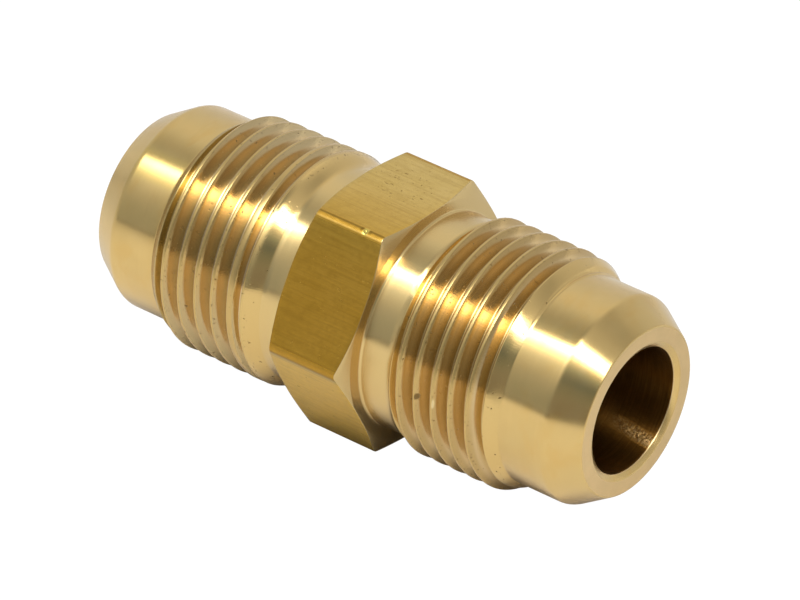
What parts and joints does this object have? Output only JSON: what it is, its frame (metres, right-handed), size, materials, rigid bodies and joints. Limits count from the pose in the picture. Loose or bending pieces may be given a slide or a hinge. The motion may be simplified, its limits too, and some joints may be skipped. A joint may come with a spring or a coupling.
{
  "type": "flare union",
  "caption": "Straight brass flare union with a wrench hexagon between two right-hand male flare threads, each ending in a conical nose, and a plain through bore.",
  "frame": {"origin": "on the bore axis, midway between the two end faces, inside the wrench hexagon", "axes": "+X along the bore towards end A, +Z square to one pair of hexagon flats, +Y towards a pair of hexagon corners"},
  "size_m": [0.0458, 0.0218, 0.019],
  "materials": {
    "machined_brass": "bright turned brass on the threads, lands, noses and bore, duller drawn-bar finish on the six wrench flats"
  },
  "bodies": {
    "root": {"union_body": "machined_brass"}
  },
  "joints": []
}
